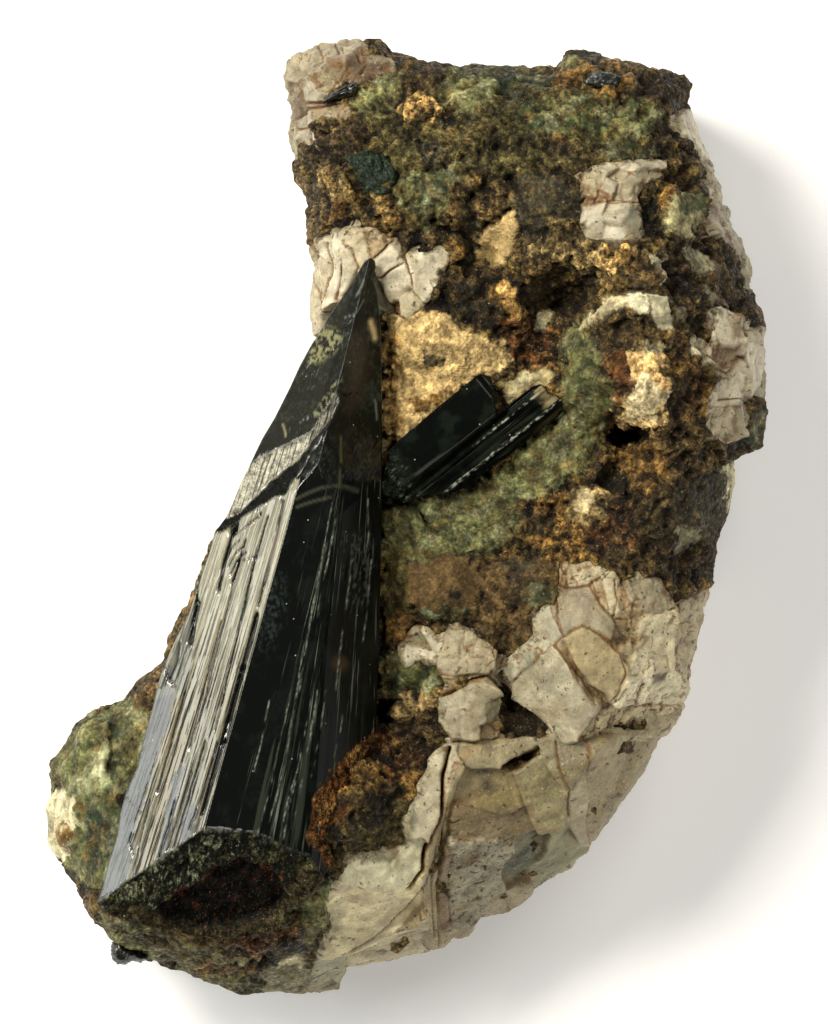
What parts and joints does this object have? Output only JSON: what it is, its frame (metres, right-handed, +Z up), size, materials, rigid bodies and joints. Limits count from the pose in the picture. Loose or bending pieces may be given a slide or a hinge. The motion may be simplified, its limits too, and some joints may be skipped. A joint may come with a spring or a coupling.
{
  "type": "aegirine crystal specimen",
  "caption": "Curved lump of green and rusty rock with white feldspar blocks, carrying a long black striated prism with a steep tip and a small black blade beside it",
  "frame": {"origin": "middle of the specimen's bounding box on the resting plane", "axes": "+Z up from the flat broken back to the crystal face, +Y along the specimen towards the crystal's tip, +X to the right as seen from above"},
  "size_m": [0.091, 0.1202, 0.048],
  "materials": {
    "matrix": "rough broken rock, green to rusty brown",
    "aegirine": "glossy black-green crystal faces with fine striations",
    "feldspar": "satin white to cream cleavage faces, stained in the cracks"
  },
  "bodies": {
    "root": {"matrix_rock": "matrix", "aegirine_main_crystal": "aegirine", "aegirine_second_crystal": "aegirine", "aegirine_small_top": "aegirine", "aegirine_small_left": "aegirine", "aegirine_small_green": "aegirine", "aegirine_small_foot": "aegirine", "feldspar_crown": "feldspar", "feldspar_block_row": "feldspar", "feldspar_right_strip": "feldspar", "feldspar_right_cluster": "feldspar", "feldspar_upper_cluster": "feldspar", "feldspar_middle_pair": "feldspar", "feldspar_lower_cluster": "feldspar", "feldspar_foot": "feldspar"}
  },
  "joints": []
}
